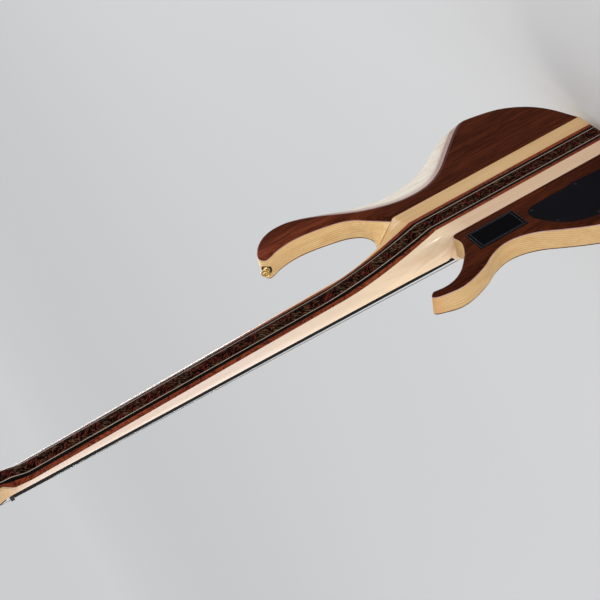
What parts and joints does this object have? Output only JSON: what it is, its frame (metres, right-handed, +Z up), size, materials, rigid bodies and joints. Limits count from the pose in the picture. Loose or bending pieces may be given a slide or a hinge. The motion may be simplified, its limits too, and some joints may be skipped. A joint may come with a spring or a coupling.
{
  "type": "electric bass guitar",
  "caption": "Neck-through electric bass guitar with laminated neck, two long horns, belly contour, tuners, pickups, bridge, control cavity and battery box on the back.",
  "frame": {"origin": "on the plane of the body's back, on the centre line, at the nut's body-side face", "axes": "+Z up the neck towards the headstock, +Y out of the back, -Y out of the front, +X towards the treble side"},
  "size_m": [0.33, 0.0663, 1.135],
  "materials": {
    "dark_core_wood": "satin oil",
    "pale_line": "satin oil",
    "black_line": "satin oil",
    "red_brown_wood": "satin oil",
    "maple": "satin oil",
    "ash": "satin oil",
    "walnut": "satin oil",
    "black_board": "satin",
    "gold": "satin gold plating",
    "string_steel": "wound",
    "black_plastic": "fine matt",
    "nut_black": "satin",
    "circuit": "satin",
    "steel": "satin",
    "battery_case": "satin"
  },
  "bodies": {
    "instrument": {"neck_core": "dark_core_wood", "neck_line_bass": "pale_line", "neck_black_bass": "black_line", "neck_red_bass": "red_brown_wood", "neck_maple_bass": "maple", "neck_line_treble": "pale_line", "neck_black_treble": "black_line", "neck_red_treble": "red_brown_wood", "neck_maple_treble": "maple", "fingerboard": "black_board", "nut": "nut_black", "truss_rod": "steel", "truss_rod_cover": "black_plastic", "headstock_face": "walnut", "body_ash_bass": "ash", "body_back_bass": "walnut", "body_top_bass": "walnut", "body_ash_treble": "ash", "body_back_treble": "walnut", "body_top_treble": "walnut", "battery": "battery_case", "battery_box": "black_plastic", "bridge_plate": "gold", "control_board": "circuit", "control_cover": "black_plastic", "jack_socket": "gold", "pickup_bridge": "black_plastic", "pickup_neck": "black_plastic", "strap_button_horn": "gold", "strap_button_tail": "gold", "string_1": "string_steel", "string_2": "string_steel", "string_3": "string_steel", "string_4": "string_steel", "string_5": "string_steel", "tuner_housing_string5": "gold", "tuner_housing_string4": "gold", "tuner_housing_string3": "gold", "tuner_housing_string1": "gold", "tuner_housing_string2": "gold"},
    "tuner_key_string5": {"tuner_key_string5": "gold"},
    "tuner_post_string5": {"tuner_post_string5": "gold"},
    "tuner_key_string4": {"tuner_key_string4": "gold"},
    "tuner_post_string4": {"tuner_post_string4": "gold"},
    "tuner_key_string3": {"tuner_key_string3": "gold"},
    "tuner_post_string3": {"tuner_post_string3": "gold"},
    "tuner_key_string1": {"tuner_key_string1": "gold"},
    "tuner_post_string1": {"tuner_post_string1": "gold"},
    "tuner_key_string2": {"tuner_key_string2": "gold"},
    "tuner_post_string2": {"tuner_post_string2": "gold"},
    "knob_1": {"knob_1": "gold"},
    "knob_2": {"knob_2": "gold"},
    "knob_3": {"knob_3": "gold"},
    "knob_4": {"knob_4": "gold"},
    "battery_lid": {"battery_lid": "black_plastic"},
    "saddle_1": {"saddle_1": "gold"},
    "saddle_2": {"saddle_2": "gold"},
    "saddle_3": {"saddle_3": "gold"},
    "saddle_4": {"saddle_4": "gold"},
    "saddle_5": {"saddle_5": "gold"}
  },
  "joints": [
    {"name": "key_turn_string5", "type": "hinge", "parent": "instrument", "child": "tuner_key_string5", "pos_m": [-0.027, -0.01675, 0.03332], "axis": [-1, 0, 0], "continuous": true},
    {"name": "post_turn_string5", "type": "hinge", "parent": "instrument", "child": "tuner_post_string5", "pos_m": [-0.027, -0.0461, 0.04713], "axis": [0, -0.9848, 0.1736], "continuous": true},
    {"name": "key_turn_string4", "type": "hinge", "parent": "instrument", "child": "tuner_key_string4", "pos_m": [-0.027, -0.00877, 0.07862], "axis": [-1, 0, 0], "continuous": true},
    {"name": "post_turn_string4", "type": "hinge", "parent": "instrument", "child": "tuner_post_string4", "pos_m": [-0.027, -0.03811, 0.09243], "axis": [0, -0.9848, 0.1736], "continuous": true},
    {"name": "key_turn_string3", "type": "hinge", "parent": "instrument", "child": "tuner_key_string3", "pos_m": [-0.027, -0.00078, 0.12393], "axis": [-1, 0, 0], "continuous": true},
    {"name": "post_turn_string3", "type": "hinge", "parent": "instrument", "child": "tuner_post_string3", "pos_m": [-0.027, -0.03013, 0.13773], "axis": [0, -0.9848, 0.1736], "continuous": true},
    {"name": "key_turn_string1", "type": "hinge", "parent": "instrument", "child": "tuner_key_string1", "pos_m": [0.027, -0.01432, 0.04711], "axis": [1, 0, 0], "continuous": true},
    {"name": "post_turn_string1", "type": "hinge", "parent": "instrument", "child": "tuner_post_string1", "pos_m": [0.027, -0.04367, 0.06092], "axis": [0, -0.9848, 0.1736], "continuous": true},
    {"name": "key_turn_string2", "type": "hinge", "parent": "instrument", "child": "tuner_key_string2", "pos_m": [0.027, -0.00599, 0.09438], "axis": [1, 0, 0], "continuous": true},
    {"name": "post_turn_string2", "type": "hinge", "parent": "instrument", "child": "tuner_post_string2", "pos_m": [0.027, -0.03534, 0.10819], "axis": [0, -0.9848, 0.1736], "continuous": true},
    {"name": "knob_turn_1", "type": "hinge", "parent": "instrument", "child": "knob_1", "pos_m": [0.098, -0.045, -0.778], "axis": [0, -1, 0], "range_deg": [-150, 150]},
    {"name": "knob_turn_2", "type": "hinge", "parent": "instrument", "child": "knob_2", "pos_m": [0.121, -0.045, -0.806], "axis": [0, -1, 0], "range_deg": [-150, 150]},
    {"name": "knob_turn_3", "type": "hinge", "parent": "instrument", "child": "knob_3", "pos_m": [0.124, -0.045, -0.842], "axis": [0, -1, 0], "range_deg": [-150, 150]},
    {"name": "knob_turn_4", "type": "hinge", "parent": "instrument", "child": "knob_4", "pos_m": [0.103, -0.045, -0.868], "axis": [0, -1, 0], "range_deg": [-150, 150]},
    {"name": "lid_hinge", "type": "hinge", "parent": "instrument", "child": "battery_lid", "pos_m": [0.0765, -0.0001, -0.6689], "axis": [1, 0, 0], "range_deg": [0, 100]},
    {"name": "saddle_slide_1", "type": "slide", "parent": "instrument", "child": "saddle_1", "axis": [0, 0, 1], "range_m": [-0.005, 0.005]},
    {"name": "saddle_slide_2", "type": "slide", "parent": "instrument", "child": "saddle_2", "axis": [0, 0, 1], "range_m": [-0.005, 0.005]},
    {"name": "saddle_slide_3", "type": "slide", "parent": "instrument", "child": "saddle_3", "axis": [0, 0, 1], "range_m": [-0.005, 0.005]},
    {"name": "saddle_slide_4", "type": "slide", "parent": "instrument", "child": "saddle_4", "axis": [0, 0, 1], "range_m": [-0.005, 0.005]},
    {"name": "saddle_slide_5", "type": "slide", "parent": "instrument", "child": "saddle_5", "axis": [0, 0, 1], "range_m": [-0.005, 0.005]}
  ],
  "couplings": [
    {"joint": "post_turn_string5", "follows": "key_turn_string5", "ratio": 0.05},
    {"joint": "post_turn_string4", "follows": "key_turn_string4", "ratio": 0.05},
    {"joint": "post_turn_string3", "follows": "key_turn_string3", "ratio": 0.05},
    {"joint": "post_turn_string1", "follows": "key_turn_string1", "ratio": 0.05},
    {"joint": "post_turn_string2", "follows": "key_turn_string2", "ratio": 0.05}
  ]
}
